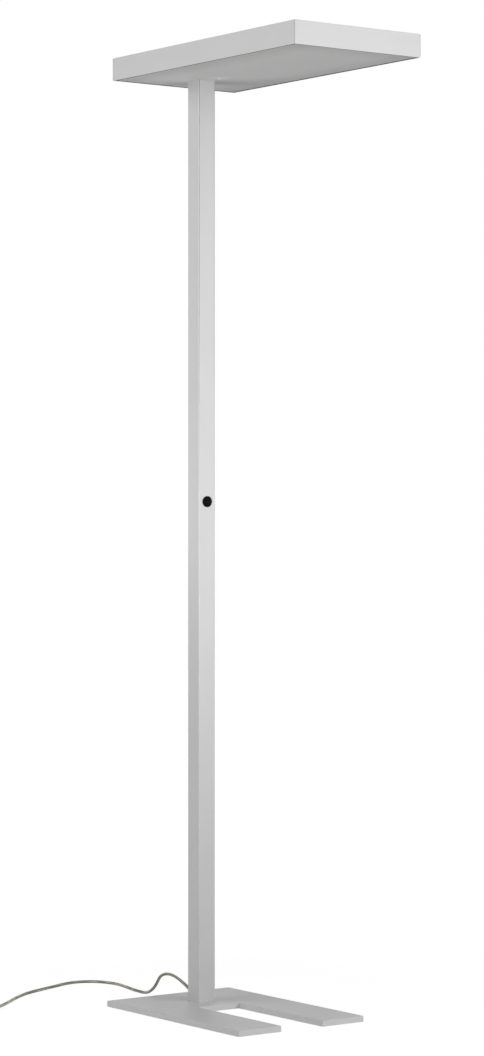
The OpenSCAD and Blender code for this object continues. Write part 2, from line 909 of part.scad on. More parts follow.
module mounting_plate() {
    color(zinc)
        translate([0, 0, head_z + sink_top])
            difference() {
                rounded_slab([mount_l, mount_w, mount_t], mount_corner_r);
                translate([0, 0, -1])
                    cylinder(r = wire_hole_r, h = mount_t + 2, $fn = fine);
                port_places() through(m6[0] + play);
                mount_screw_places() through(m4[0] + play);
            }
}

module mounting_screws() {
    color(zinc)
        translate([0, 0, head_z + mount_top])
            mount_screw_places()
                pan_screw(m4, mount_t + sink_t + mount_thread);
}

// Screws from above through both plates into the column's screw ports
module column_screws() {
    color(zinc)
        translate([0, 0, head_z + mount_top])
            port_places()
                pan_screw(m6, mount_t + sink_t + screw_grip);
}

// Rubber edging in the hole that the wires come up through
module cable_grommet() {
    height = sink_t + mount_t;
    color(black)
        translate([0, 0, head_z + shelf_z])
            rotate_extrude($fn = fine)
                polygon([
                    [wire_room, 0], [wire_hole_r - fit, 0], [wire_hole_r - fit, height],
                    [wire_hole_r + grommet_lip, height], [wire_hole_r + grommet_lip, height + grommet_lip_t],
                    [wire_room + grommet_lip_t / 2, height + grommet_lip_t],
                    [wire_room, height + grommet_lip_t / 2]
                ]);
}

// ---------- electrics ----------

module terminal_block() {
    pole_w = terminal_size[1] / poles;
    color(opal)
        translate([terminal_x, -terminal_size[1] / 2, head_z + mount_top])
            difference() {
                cube(terminal_size);
                for (i = [0 : poles - 1], x = [pole_hole_at, terminal_size[0] - pole_hole_at])
                    translate([x, (i + 0.5) * pole_w, terminal_size[2] - pole_hole[1]])
                        cylinder(r = pole_hole[0], h = pole_hole[1] + 1, $fn = small);
                for (i = [1 : poles - 1])
                    translate([-1, i * pole_w - pole_groove[0] / 2, terminal_size[2] - pole_groove[1]])
                        cube([terminal_size[0] + 2, pole_groove[0], pole_groove[1] + 1]);
            }
}

// Live, neutral and earth, from the end of the cord's jacket to the terminal block
module mains_leads() {
    color("sienna")
        for (i = [-1 : 1])
            bent_lead(riser_x, i * lead_pitch, lead_d);
}

module driver_leads() {
    start = terminal_x + terminal_size[0];
    color("sienna")
        for (i = [0 : poles - 1])
            translate([start, (i - (poles - 1) / 2) * driver_lead_pitch, head_z + lead_z])
                rotate([0, 90, 0])
                    cylinder(d = lead_d, h = driver_x + driver_ear - start, $fn = small);
}

module led_driver() {
    color(opal)
        translate([driver_x, 0, head_z + sink_top])
            difference() {
                union() {
                    translate([driver_ear, -driver_w / 2, 0])
                        cube([driver_l - 2 * driver_ear, driver_w, driver_h - driver_lid]);
                    translate([driver_ear, -driver_w / 2 + driver_lid, driver_h - driver_lid - eps])
                        cube([driver_l - 2 * driver_ear, driver_w - 2 * driver_lid, driver_lid]);
                    translate([0, -driver_w / 4, 0])
                        cube([driver_l, driver_w / 2, driver_ear_t]);
                }
                for (x = [driver_ear / 2, driver_l - driver_ear / 2])
                    translate([x, 0, 0])
                        through(m4[0] + play);
            }
}

module driver_screws() {
    color(zinc)
        translate([0, 0, head_z + sink_top + driver_ear_t])
            driver_screw_places()
                pan_screw(m4, sink_t + driver_ear_t);
}

// From the driver's front end, out to the strips on top of the heat sink
module led_leads() {
    start = driver_x + driver_l - driver_ear;
    first_y = driver_w / 2 - led_lead_y;
    strip_edge = strip_y_out - strip_w / 2;
    color("firebrick")
        for (side = [0, 1], k = [0, 1])
            translate([start, 0, head_z + sink_top + thin_d / 2 + play])
                mirror([0, side, 0])
                    turned_lead(led_lead_x[0] + led_lead_x[1] * k, first_y - led_lead_y * k, strip_edge);
}

// A wire that runs along +X, turns once and ends at y = to
module turned_lead(along, from, to) {
    r = led_lead_bend;
    translate([0, from, 0])
        rotate([0, 90, 0])
            cylinder(d = thin_d, h = along, $fn = small);
    translate([along, from + r, 0])
        rotate([0, 0, -90])
            elbow(r, thin_d);
    translate([along + r, from + r, 0])
        rotate([-90, 0, 0])
            cylinder(d = thin_d, h = to - from - r, $fn = small);
}

module led_strip() {
    length = strip_x[1] - strip_x[0];
    count = floor((length - led_size[0] - 2 * led_margin) / led_pitch) + 1;
    translate([strip_x[0], -strip_w / 2, 0])
        cube([length, strip_w, strip_t]);
    for (i = [0 : count - 1])
        translate([(strip_x[0] + strip_x[1]) / 2 + (i - (count - 1) / 2) * led_pitch, 0,
            strip_t + led_size[2] / 2 - eps])
            cube(led_size, center = true);
}

module led_strips_down() {
    color("white")
        for (y = [-strip_y_out, -strip_y_in, strip_y_in, strip_y_out])
            translate([0, y, head_z + shelf_z])
                mirror([0, 0, 1])
                    led_strip();
}

module led_strips_up() {
    color("white")
        for (y = [-strip_y_out, strip_y_out])
            translate([0, y, head_z + sink_top])
                led_strip();
}

module sensor_module() {
    bottom = diffuser_recess + diffuser_t + play + lens_flange_t;
    color(opal)
        translate([sensor_x, 0, head_z]) {
            translate([0, 0, bottom])
                cylinder(r = sensor_r, h = shelf_z - bottom, $fn = fine);
            translate([0, 0, shelf_z - eps])
                cylinder(r = sensor_neck_r, h = sink_t + sensor_neck_proud, $fn = fine);
        }
}

module sensor_lens() {
    r = lens_d / 2;
    flange_z = diffuser_recess + diffuser_t + play;
    dome_z = diffuser_recess - lens_proud + r;
    color([0.9, 0.9, 0.88])
        translate([sensor_x, 0, head_z])
            rotate_extrude($fn = fine) {
                intersection() {
                    translate([0, dome_z])
                        circle(r, $fn = fine);
                    translate([0, dome_z - r])
                        square(r);
                }
                translate([0, dome_z - eps])
                    square([r, flange_z - dome_z + 2 * eps]);
                translate([0, flange_z])
                    square([lens_flange_r, lens_flange_t]);
            }
}

// ---------- light panels ----------

// The opal tray: a flat panel with a raised rim that turns inwards at the top
module diffuser() {
    out = [head_l, head_w] - 2 * (frame_wall + diffuser_gap) * [1, 1];
    middle = head_l / 2 - head_back;
    color(opal)
        translate([0, 0, head_z + diffuser_recess])
            difference() {
                translate([middle, 0, 0])
                    rounded_slab([out[0], out[1], diffuser_rim_h], tray_corner_r);
                translate([middle, 0, diffuser_t])
                    linear_extrude(diffuser_rim_h - diffuser_t - tray_lip_t)
                        square(out - 2 * tray_wall * [1, 1], center = true);
                translate([middle, 0, diffuser_t])
                    linear_extrude(diffuser_rim_h)
                        square(out - 2 * tray_lip * [1, 1], center = true);
                translate([0, 0, -1])
                    linear_extrude(diffuser_t + 2)
                        square(column_w + 2 * column_gap, center = true);
                translate([sensor_x, 0, -1])
                    cylinder(r = lens_d / 2 + play, h = diffuser_t + 2, $fn = fine);
            }
}

// A flat ring, centred on the head, between two distances inside the frame's outer faces
module head_ring(from, to) {
    difference() {
        square([head_l, head_w] - 2 * from * [1, 1], center = true);
        square([head_l, head_w] - 2 * to * [1, 1], center = true);
    }
}

// Black edging that fills the gap between the tray and the frame, with a groove along its middle
module diffuser_seal() {
    groove_at = frame_wall + (diffuser_gap - seal_groove[0]) / 2;
    color(black)
        translate([head_l / 2 - head_back, 0, head_z + diffuser_recess])
            difference() {
                linear_extrude(seal_h)
                    head_ring(frame_wall, frame_wall + diffuser_gap);
                translate([0, 0, -1])
                    linear_extrude(seal_groove[1] + 1)
                        head_ring(groove_at, groove_at + seal_groove[0]);
            }
}

// Sprung clips under the shelf that catch the diffuser's rim
module diffuser_clips() {
    rim_in = frame_wall + diffuser_gap + tray_lip;
    rim_z = diffuser_recess + diffuser_rim_h - tray_lip_t - play;
    foot_at = shelf_z - ledge_t;
    t = clip_sheet_t;
    leg = [
        [shelf_reach, foot_at], [rim_in + play, foot_at], [rim_in + play, rim_z],
        [rim_in - clip_hook, rim_z], [rim_in - clip_hook, rim_z - t],
        [rim_in + play + t, rim_z - t], [rim_in + play + t, foot_at - t], [shelf_reach, foot_at - t]
    ];
    color(zinc) {
        for (place = clip_places, side = [0, 1])
            translate([-head_back + head_l * place, (side - 0.5) * head_w, head_z])
                mirror([0, side, 0])
                    rotate([90, 0, 90])
                        linear_extrude(clip_w, center = true)
                            polygon(leg);
        for (end = [0, 1])
            translate([end == 0 ? -head_back : head_front, 0, head_z])
                mirror([end, 0, 0])
                    rotate([90, 0, 0])
                        linear_extrude(clip_w, center = true)
                            polygon(leg);
    }
}

module top_cover() {
    gap = frame_wall + play;
    color(opal)
        translate([head_l / 2 - head_back, 0, head_z + top_ledge_z + ledge_t])
            rounded_slab([head_l - 2 * gap, head_w - 2 * gap, cover_t], tray_corner_r);
}

// ---------- cord, coil and plug ----------

lifted_route = [for (p = cord_route) [p[0], p[1], p[2] + floor_gap + cord_r]];
free_end = [coil_start[0], coil_start[1], coil_z];
coil_way3 = [coil_way[0], coil_way[1], 0];
free_path = concat(
    [outlet_tip],
    smooth(
        concat([outlet_tip + cord_d * outlet_way], lifted_route, [free_end - cord_d * coil_way3]),
        cord_steps
    ),
    [free_end]
);

// Radius and height of the coil after some turns: each layer spirals in or out at a steady
// rate, and the cord climbs to the next layer in the half turn where the spiral reverses
function coil_radius(t) =
    let (u = t / layer_turns, layer = min(floor(u), coil_layers - 1), part = u - layer)
    coil_r - layer_turns * coil_pitch * (layer % 2 == 0 ? part : 1 - part);

function climb(t, k) =
    let (s = (t - k * layer_turns) / 0.5 + 0.5)
    s <= 0 ? 0 : s >= 1 ? 1 : (1 - cos(180 * s)) / 2;

function coil_height(t) =
    coil_z + coil_pitch * (climb(t, 1) + climb(t, 2) + climb(t, 3));

function coil_point(t) =
    let (a = coil_heading + 90 - 360 * t, r = coil_radius(t))
    [coil_at[0] + r * cos(a), coil_at[1] + r * sin(a), coil_height(t)];

// From the coil's top layer the cord sinks to the height of the plug's axis
tail_path = [
    for (i = [1 : tail_rings])
        let (s = i / tail_rings)
        coil_point(0) + tail_l * s * coil_way3
            + [0, 0, coil_top_z - coil_z - (coil_top_z - plug_r) * (1 - cos(180 * s)) / 2]
];
tail_end = tail_path[tail_rings - 1] + cord_d * coil_way3;
coil_path = concat(
    [free_end],
    [for (i = [0 : coil_turns * coil_rings]) coil_point(i / coil_rings)],
    tail_path,
    [tail_end]
);

// Least distance between points of the coil more than a third of a turn apart, less the cord
apart = floor(coil_rings / 3);
coil_least_gap = min([
    for (i = [0 : len(coil_path) - 1 - apart])
        min([for (k = [i + apart : len(coil_path) - 1]) norm(coil_path[i] - coil_path[k])])
]) - cord_d;
echo(coil_least_gap = coil_least_gap);
echo(cord_length = path_length(free_path) + path_length(coil_path));

module mains_cord() {
    color(clear_pvc)
        tube(free_path, cord_d, cord_sides);
}

module cord_coil() {
    color(clear_pvc)
        tube(coil_path, cord_d, coil_sides);
}

// A flat strap round the bundle of turns, on the far side from the coil's ends
module cord_strap() {
    bend_room = strap_w * strap_w / (8 * coil_in_r);
    in_r = coil_in_r - cord_r - bend_room - play - strap_t;
    out_r = coil_r + cord_r + play + strap_t;
    height = coil_top_z + cord_r + play + strap_t;
    color(black)
        translate([coil_at[0], coil_at[1], 0])
            rotate([0, 0, coil_heading - 90])
                rotate([90, 0, 0])
                    translate([(in_r + out_r) / 2, height / 2, 0])
                        linear_extrude(strap_w, center = true)
                            difference() {
                                rounded_square([out_r - in_r, height], strap_corner_r);
                                rounded_square([out_r - in_r, height] - 2 * strap_t * [1, 1],
                                    strap_corner_r - strap_t);
                            }
}

// Places children at the plug, with their z along the plug's axis, from cord to pins
module at_plug() {
    translate([plug_start[0], plug_start[1], plug_r])
        rotate([0, 0, coil_heading])
            rotate([90, 0, 90])
                children();
}

plug_grip_z = plug_relief_l + plug_grip_l;
plug_l = plug_grip_z + plug_face_t;

module plug_body() {
    // The grip swells from the strain relief to the face in one S-shaped curve
    grip = [
        for (i = [0 : grip_steps])
            [plug_grip_r[0] + (plug_grip_r[1] - plug_grip_r[0]) * (1 - cos(180 * i / grip_steps)) / 2,
                plug_relief_l + plug_grip_l * i / grip_steps]
    ];
    groove = plug_relief_l / (relief_grooves + 1);
    color(black)
        at_plug()
            difference() {
                union() {
                    rotate_extrude($fn = fine)
                        polygon(concat(
                            [[0, 0], [plug_relief_r[0], 0], [plug_relief_r[1], plug_relief_l]],
                            grip,
                            [[plug_r - plug_bevel[0], plug_grip_z], [plug_r, plug_grip_z + plug_bevel[0]],
                                [plug_r, plug_l - plug_bevel[1]], [plug_r - plug_bevel[1], plug_l],
                                [0, plug_l]]
                        ));
                }
                // Grooves that let the strain relief flex
                for (i = [1 : relief_grooves])
                    translate([0, 0, i * groove - relief_groove_w / 2])
                        difference() {
                            cylinder(r = plug_relief_r[1] + 1, h = relief_groove_w, $fn = fine);
                            translate([0, 0, -1])
                                cylinder(r = cord_r + relief_groove_wall, h = relief_groove_w + 2,
                                    $fn = fine);
                        }
                // Flats on both sides for the earth clips, and the socket for an earth pin
                for (side = [-1, 1])
                    translate([side * (2 * plug_r - flat_depth), 0, plug_l - plug_face_t / 2 + flat_face])
                        cube([2 * plug_r, earth_clip[1] + 2 * flat_side, plug_face_t], center = true);
                translate([pin_spacing / 2, 0, plug_l - earth_socket_depth])
                    cylinder(r = pin_r + earth_socket_gap, h = earth_socket_depth + 1, $fn = fine);
            }
}

module plug_pins() {
    color(zinc)
        at_plug()
            for (side = [-1, 1])
                translate([0, side * pin_spacing / 2, plug_l])
                    rotate_extrude($fn = small)
                        polygon(concat(
                            [[0, 0], [pin_r, 0]],
                            [for (p = pin_tip) [pin_r - p[0], pin_l - p[1]]],
                            [[0, pin_l]]
                        ));
}

module plug_earth_clips() {
    color("gold")
        at_plug()
            for (side = [-1, 1])
                translate([side * (plug_r - flat_depth + earth_clip[0] / 2), 0,
                    plug_l - plug_face_t / 2 + flat_face])
                    cube(earth_clip, center = true);
}

foot_plate();
foot_pad();
foot_screws();
column();
cord_outlet();
mains_riser();
signal_cable();
button_ring();
button_cap();
button_spring();
switch_module();
frame_front();
frame_rear();
frame_left();
frame_right();
corner_keys();
heat_sink();
heat_sink_screws();
mounting_plate();
mounting_screws();
column_screws();
cable_grommet();
terminal_block();
mains_leads();
driver_leads();
led_driver();
driver_screws();
led_leads();
led_strips_down();
led_strips_up();
diffuser();
diffuser_seal();
diffuser_clips();
sensor_module();
sensor_lens();
top_cover();
mains_cord();
cord_coil();
cord_strap();
plug_body();
plug_pins();
plug_earth_clips();
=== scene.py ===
"""Office floor lamp: camera, cord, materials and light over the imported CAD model, in its frame."""

import math

import bmesh
import bpy
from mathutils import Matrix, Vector


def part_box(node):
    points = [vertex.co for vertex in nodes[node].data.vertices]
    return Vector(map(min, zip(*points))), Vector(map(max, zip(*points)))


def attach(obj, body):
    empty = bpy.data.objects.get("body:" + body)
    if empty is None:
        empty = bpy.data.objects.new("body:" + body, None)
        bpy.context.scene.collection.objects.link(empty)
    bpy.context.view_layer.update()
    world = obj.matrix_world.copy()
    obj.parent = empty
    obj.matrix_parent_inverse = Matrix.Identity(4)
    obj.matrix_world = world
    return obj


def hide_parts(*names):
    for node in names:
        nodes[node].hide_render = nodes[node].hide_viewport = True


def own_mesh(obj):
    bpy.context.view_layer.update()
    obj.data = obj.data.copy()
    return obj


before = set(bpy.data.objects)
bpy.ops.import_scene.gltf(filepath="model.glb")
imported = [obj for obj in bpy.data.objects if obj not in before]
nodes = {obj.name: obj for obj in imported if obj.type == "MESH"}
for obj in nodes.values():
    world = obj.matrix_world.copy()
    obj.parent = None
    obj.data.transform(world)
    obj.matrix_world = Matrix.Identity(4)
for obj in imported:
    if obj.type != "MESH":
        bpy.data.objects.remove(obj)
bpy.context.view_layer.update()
scene = bpy.context.scene
MM = 0.001


# ---------- camera ----------

camera_data = bpy.data.cameras.new("camera")
camera_data.sensor_width = 36.0
camera_data.lens = 105.0
camera_data.shift_y = -0.01134
camera_data.clip_start = 0.05
camera_data.clip_end = 60.0
camera = bpy.data.objects.new("camera", camera_data)
camera.location = (5.169, -3.666, 1.0104)
camera.rotation_euler = Vector((-0.8080, 0.5892, 0.0)).to_track_quat("-Z", "Y").to_euler()
scene.collection.objects.link(camera)
scene.camera = camera


# ---------- mesh helpers ----------

def link_mesh(name, bm, smooth=True):
    mesh = bpy.data.meshes.new(name)
    bm.normal_update()
    bm.to_mesh(mesh)
    bm.free()
    for polygon in mesh.polygons:
        polygon.use_smooth = smooth
    piece = bpy.data.objects.new(name, mesh)
    scene.collection.objects.link(piece)
    return piece


def path_frames(path):
    """Direction, side and up at each point of a path, carried along it without twist."""
    frames = []
    side = None
    for i, point in enumerate(path):
        ahead = path[min(i + 1, len(path) - 1)]
        behind = path[max(i - 1, 0)]
        direction = (ahead - behind).normalized()
        if side is None:
            reference = Vector((0, 0, 1)) if abs(direction.z) < 0.9 else Vector((1, 0, 0))
            side = direction.cross(reference).normalized()
        else:
            side = (side - direction * side.dot(direction)).normalized()
        frames.append((direction, side, direction.cross(side).normalized()))
    return frames


def tube(name, path, radius, sides, closed_ends=True):
    """A round tube along a path, with u round it and v in metres along it."""
    bm = bmesh.new()
    uv = bm.loops.layers.uv.new("UVMap")
    rings = []
    along = [0.0]
    for i in range(1, len(path)):
        along.append(along[-1] + (path[i] - path[i - 1]).length)
    for point, (_, side, up) in zip(path, path_frames(path)):
        ring = []
        for k in range(sides):
            angle = 2 * math.pi * k / sides
            ring.append(bm.verts.new(point + radius * (math.cos(angle) * side + math.sin(angle) * up)))
        rings.append(ring)
    for i in range(len(path) - 1):
        for k in range(sides):
            n = (k + 1) % sides
            face = bm.faces.new((rings[i][k], rings[i][n], rings[i + 1][n], rings[i + 1][k]))
            values = ((k, i), (k + 1, i), (k + 1, i + 1), (k, i + 1))
            for loop, (a, b) in zip(face.loops, values):
                loop[uv].uv = (a / sides, along[b])
    if closed_ends:
        bm.faces.new(list(reversed(rings[0])))
        bm.faces.new(rings[-1])
    return link_mesh(name, bm)


def catmull(points, steps):
    """A smooth curve through points."""
    curve = []
    last = len(points) - 1
    for i in range(last):
        a, b = points[max(i - 1, 0)], points[i]
        c, d = points[i + 1], points[min(i + 2, last)]
        for k in range(steps):
            t = k / steps
            curve.append((2 * b + (c - a) * t + (2 * a - 5 * b + 4 * c - d) * t * t
                          + (3 * b - a - 3 * c + d) * t ** 3) / 2)
    curve.append(points[last])
    return curve


# ---------- the cord: the same route as in the CAD source ----------

CORD_D = 6.2
CORD_R = CORD_D / 2
FLOOR_GAP = 0.2
CORD_ROUTE = [
    (-56, 0, 35), (-70, 0, 40.5), (-84, 0, 45.5), (-100, 0, 49), (-115, 0, 50.5),
    (-129, 0, 49.5), (-141, 0, 46), (-150, 0, 40.5), (-157.5, 0, 32), (-165, 0, 23),
    (-174, 0, 14.5), (-185, 0, 7.5), (-199, 1, 2.5), (-216, 2, 0.3),
    (-237, 4, 0), (-262, 7.5, 0), (-286, 12.5, 0), (-310, 17.5, 0), (-333, 21, 0), (-355, 21, 0),
    (-376, 17, 0), (-395, 8, 0), (-410, -6, 0), (-418, -24, 0), (-419, -46, 0), (-412, -72, 0),
    (-400, -98, 0), (-388, -124, 0), (-376, -151, 0), (-363, -179, 0), (-347, -207, 0),
    (-328, -234, 0), (-306, -260, 0), (-282, -286, 0), (-258, -313, 0), (-236, -341, 0),
]
OUTLET_Z = 30.0
OUTLET_X = -22.0
RELIEF_BEND = 80.0
RELIEF_L = 18.0
COIL_START = (-215.0, -370.0)
COIL_HEADING = math.radians(-58)
COIL_R = 42.0
COIL_LAYERS = 4
LAYER_TURNS = 2.5
COIL_RINGS = 24
COIL_PITCH = CORD_D + 0.55
COIL_Z = 1.0 + 0.3 + CORD_R
COIL_TOP_Z = COIL_Z + (COIL_LAYERS - 1) * COIL_PITCH
TAIL_L = 46.0
TAIL_RINGS = 8
PLUG_R = 18.5

relief_angle = RELIEF_L / RELIEF_BEND
outlet_tip = Vector((OUTLET_X - RELIEF_BEND * math.sin(relief_angle), 0,
                     OUTLET_Z + RELIEF_BEND * (1 - math.cos(relief_angle))))
outlet_way = Vector((-math.cos(relief_angle), 0, math.sin(relief_angle)))
coil_way = Vector((math.cos(COIL_HEADING), math.sin(COIL_HEADING), 0))
coil_side = Vector((coil_way.y, -coil_way.x, 0))
free_end = Vector((COIL_START[0], COIL_START[1], COIL_Z))
coil_at = free_end + CORD_D * coil_way + COIL_R * coil_side


def coil_climb(turn, layer):
    s = (turn - layer * LAYER_TURNS) / 0.5 + 0.5
    return (1 - math.cos(math.pi * min(max(s, 0.0), 1.0))) / 2


def coil_point(turn):
    u = turn / LAYER_TURNS
    layer = min(math.floor(u), COIL_LAYERS - 1)
    part = u - layer
    radius = COIL_R - LAYER_TURNS * COIL_PITCH * (part if layer % 2 == 0 else 1 - part)
    angle = COIL_HEADING + math.pi / 2 - 2 * math.pi * turn
    lift = COIL_PITCH * sum(coil_climb(turn, k) for k in range(1, COIL_LAYERS))
    return Vector((coil_at.x + radius * math.cos(angle), coil_at.y + radius * math.sin(angle), COIL_Z + lift))


def tail_point(i):
    s = i / TAIL_RINGS
    sink = (COIL_TOP_Z - PLUG_R) * (1 - math.cos(math.pi * s)) / 2
    place = coil_point(0) + TAIL_L * s * coil_way
    return Vector((place.x, place.y, COIL_TOP_Z - sink))


turns = COIL_LAYERS * LAYER_TURNS
tail = [tail_point(i) for i in range(1, TAIL_RINGS + 1)]
controls = (
    [outlet_tip, outlet_tip + CORD_D * outlet_way]
    + [Vector((x, y, z + FLOOR_GAP + CORD_R)) for x, y, z in CORD_ROUTE]
    + [free_end - CORD_D * coil_way, free_end]
    + [coil_point(i / COIL_RINGS) for i in range(int(turns * COIL_RINGS) + 1)]
    + tail + [tail[-1] + CORD_D * coil_way]
)
cord_path = [point * MM for point in catmull(controls, 3)]
cord_length = sum((b - a).length for a, b in zip(cord_path, cord_path[1:]))
print("cord length", round(cord_length, 4))

mains_cord = tube("mains_cord_clear", cord_path, CORD_R * MM, 16)
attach(mains_cord, "lamp")
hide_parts("mains_cord", "cord_coil")


# ---------- the strap round the coil ----------

STRAP_W = 10.0
STRAP_T = 1.0
STRAP_CORNER = 3.0
STRAP_LAP = 26.0
PLAY = 0.3
coil_in_r = COIL_R - LAYER_TURNS * COIL_PITCH
strap_in = coil_in_r - CORD_R - STRAP_W ** 2 / (8 * coil_in_r) - PLAY - STRAP_T
strap_out = COIL_R + CORD_R + PLAY + STRAP_T
strap_top = COIL_TOP_Z + CORD_R + PLAY + STRAP_T


def rounded_loop(low, high, radius, step):
    """Points and outward normals round a rectangle with rounded corners, clockwise from its top left."""
    loop = []
    corners = ((high[0] - radius, high[1] - radius, 90), (high[0] - radius, low[1] + radius, 0),
               (low[0] + radius, low[1] + radius, -90), (low[0] + radius, high[1] - radius, -180))
    for x, z, start in corners:
        arc = []
        for k in range(9):
            angle = math.radians(start - 90 * k / 8)
            normal = Vector((math.cos(angle), math.sin(angle)))
            arc.append((Vector((x, z)) + radius * normal, normal))
        if loop:
            before, normal = loop[-1]
            count = max(1, round((arc[0][0] - before).length / step))
            loop += [(before.lerp(arc[0][0], k / count), normal) for k in range(1, count)]
        loop += arc
    before, normal = loop[-1]
    count = max(1, round((loop[0][0] - before).length / step))
    loop += [(before.lerp(loop[0][0], k / count), loop[0][1]) for k in range(1, count)]
    return loop


def strap_line():
    """The strap's centre line: once round the bundle, then over its own start to a free end."""
    inset = STRAP_T / 2
    loop = rounded_loop((strap_in + inset, inset), (strap_out - inset, strap_top - inset),
                        STRAP_CORNER - inset, 1.0)
    # It starts on top, a third of the way from the inner side
    loop = loop[-6:] + loop[:-6]
    total = sum((b[0] - a[0]).length for a, b in zip(loop, loop[1:] + loop[:1]))
    line = []
    along = 0.0
    i = 0
    while along <= total + STRAP_LAP:
        point, normal = loop[i % len(loop)]
        rise = min(max((along - total + 9.0) / 8.0, 0.0), 1.0)
        tip = min(max((along - total - STRAP_LAP + 6.0) / 6.0, 0.0), 1.0)
        offset = 1.06 * STRAP_T * rise * rise * (3 - 2 * rise) + 0.9 * tip * tip
        line.append((point + offset * normal, normal, along))
        along += (loop[(i + 1) % len(loop)][0] - point).length
        i += 1
    return line


def make_strap():
    bm = bmesh.new()
    uv = bm.loops.layers.uv.new("UVMap")
    half, edge = STRAP_W / 2, STRAP_T / 2
    # Rounded long edges, and a shallow groove beside each of them on the outer face
    section = [
        (-half, -0.25 * edge), (-half + 0.12, -0.8 * edge), (-half + 0.7, -edge), (0, -edge),
        (half - 0.7, -edge), (half - 0.12, -0.8 * edge), (half, -0.25 * edge), (half, 0.25 * edge),
        (half - 0.12, 0.8 * edge), (half - 0.7, 0.72 * edge), (half - 1.3, edge), (0, edge),
        (-half + 1.3, edge), (-half + 0.7, 0.72 * edge), (-half + 0.12, 0.8 * edge),
        (-half, 0.25 * edge),
    ]
    rings = []
    line = strap_line()
    for point, normal, _ in line:
        centre = coil_at + point.x * coil_side
        ring = []
        for across, out in section:
            place = centre + across * coil_way + out * normal.x * coil_side
            ring.append(bm.verts.new(Vector((place.x, place.y, point.y + out * normal.y)) * MM))
        rings.append(ring)
    count = len(section)
    for i in range(len(rings) - 1):
        for k in range(count):
            n = (k + 1) % count
            face = bm.faces.new((rings[i][k], rings[i][n], rings[i + 1][n], rings[i + 1][k]))
            for loop, (a, b) in zip(face.loops, ((k, i), (n, i), (n, i + 1), (k, i + 1))):
                loop[uv].uv = (section[a][0] * MM, line[b][2] * MM)
    bm.faces.new(rings[0])
    bm.faces.new(list(reversed(rings[-1])))
    bmesh.ops.recalc_face_normals(bm, faces=bm.faces)
    return link_mesh("cord_strap_woven", bm)


strap = make_strap()
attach(strap, "lamp")
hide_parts("cord_strap")


# ---------- the button's return spring ----------

BUTTON_Z = 1040.0
SPRING_FROM = 13.38
SPRING_L = 3.94
SPRING_R = 3.98
SPRING_WIRE = 0.3
SPRING_TURNS = 4
SPRING_RINGS = 28


def spring_point(i):
    turn = i / SPRING_RINGS
    # The end turns lie nearly flat
    s = turn / SPRING_TURNS
    x = SPRING_FROM + SPRING_L * (s - 0.11 * math.sin(4 * math.pi * s) / (2 * math.pi))
    angle = 2 * math.pi * turn
    return Vector((x, SPRING_R * math.cos(angle), BUTTON_Z + SPRING_R * math.sin(angle))) * MM


spring = tube("button_spring_round", [spring_point(i) for i in range(SPRING_TURNS * SPRING_RINGS + 1)],
              SPRING_WIRE * MM, 10)
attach(spring, "lamp")
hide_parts("button_spring")
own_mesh(spring)


# ---------- material helpers ----------

